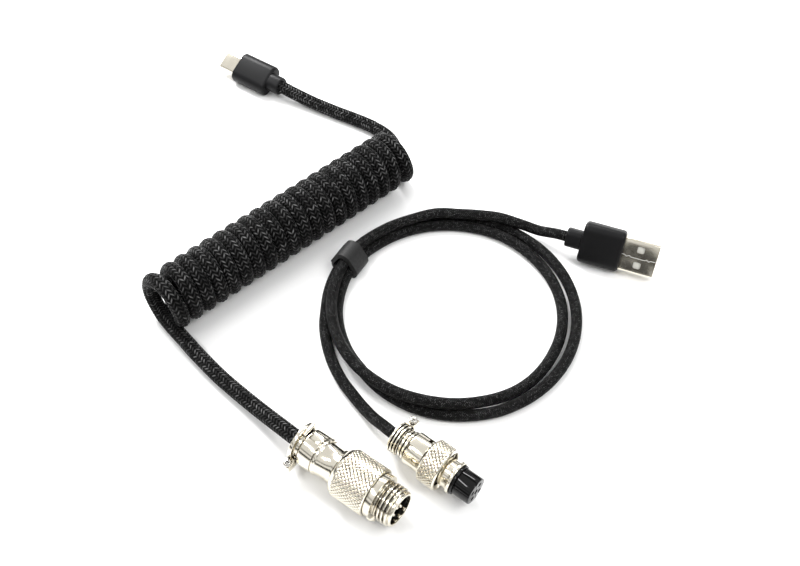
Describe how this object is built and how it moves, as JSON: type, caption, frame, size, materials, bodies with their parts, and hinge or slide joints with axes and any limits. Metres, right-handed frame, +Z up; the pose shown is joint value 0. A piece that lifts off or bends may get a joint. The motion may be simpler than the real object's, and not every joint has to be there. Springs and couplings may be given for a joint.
{
  "type": "coiled keyboard cable set",
  "caption": "Coiled braided cable with a USB-C plug and a round threaded connector, and a straight braided cable in a strapped loop with the mating round plug and a USB-A plug.",
  "frame": {"origin": "middle of the plugs' box, on the surface that the set lies on", "axes": "+Z up; +X to the right and +Y away from the viewer, with the round connectors at -Y and the USB-C plug at +Y"},
  "size_m": [0.1778, 0.214, 0.0214],
  "materials": {
    "nickel": "polished, slightly warm nickel plating",
    "steel": "plain steel",
    "gold": "gold plated contact",
    "black_plastic": "matte black overmould",
    "white_plastic": "white moulded insert",
    "gloss_plastic": "glossy black insulator",
    "coil_braid": "thick black braid with a slight sheen",
    "loop_braid": "fine matte black braid",
    "strap_cloth": "black hook-and-loop tape",
    "circuit_board": "green solder mask"
  },
  "bodies": {
    "coiled_cable": {"socket_body": "nickel", "socket_insulator": "gloss_plastic", "socket_retaining_ring": "steel", "socket_pin_1": "nickel", "socket_pin_2": "nickel", "socket_pin_3": "nickel", "socket_pin_4": "nickel", "socket_pin_5": "nickel", "socket_rear_shell": "nickel", "socket_clamp": "nickel", "socket_clamp_screw": "steel", "coil_lead_at_socket": "coil_braid", "coil": "coil_braid"},
    "usb_c_end": {"coil_lead_at_usb_c": "coil_braid", "usb_c_shell": "nickel", "usb_c_liner": "black_plastic", "usb_c_contacts_upper": "gold", "usb_c_contacts_lower": "gold", "usb_c_circuit_board": "circuit_board", "usb_c_body": "black_plastic", "usb_c_strain_relief": "black_plastic"},
    "straight_cable": {"plug_clamp": "nickel", "plug_clamp_screw": "steel", "plug_rear_shell": "nickel", "plug_sleeve": "nickel", "plug_seal_ring": "black_plastic", "plug_insulator": "gloss_plastic", "plug_contact_1": "gold", "plug_contact_2": "gold", "plug_contact_3": "gold", "plug_contact_4": "gold", "plug_contact_5": "gold", "loop_lead_at_plug": "loop_braid", "loop": "loop_braid", "loop_lead_at_usb_a": "loop_braid", "cable_strap": "strap_cloth", "usb_a_shell": "nickel", "usb_a_tongue": "white_plastic", "usb_a_contact_1": "gold", "usb_a_contact_2": "gold", "usb_a_contact_3": "gold", "usb_a_contact_4": "gold", "usb_a_body": "black_plastic", "usb_a_strain_relief": "black_plastic"},
    "nut_ring": {"nut_retaining_ring": "steel"},
    "nut": {"coupling_nut": "nickel"}
  },
  "joints": [
    {"name": "coil_stretch", "type": "slide", "parent": "coiled_cable", "child": "usb_c_end", "axis": [0.7373, 0.6756, 0], "range_m": [0, 0.24], "stiffness_N_per_m": 10, "deforming": ["coil"]},
    {"name": "straight_cable_lift", "type": "slide", "parent": "coiled_cable", "child": "straight_cable", "axis": [0, 0, 1], "range_m": [0, 0.1]},
    {"name": "nut_slide", "type": "slide", "parent": "straight_cable", "child": "nut_ring", "axis": [0.7826, -0.6225, 0], "range_m": [0, 0.007]},
    {"name": "nut_turn", "type": "hinge", "parent": "nut_ring", "child": "nut", "pos_m": [-0.0084, -0.078, 0.0069], "axis": [0.7826, -0.6225, 0], "continuous": true}
  ]
}
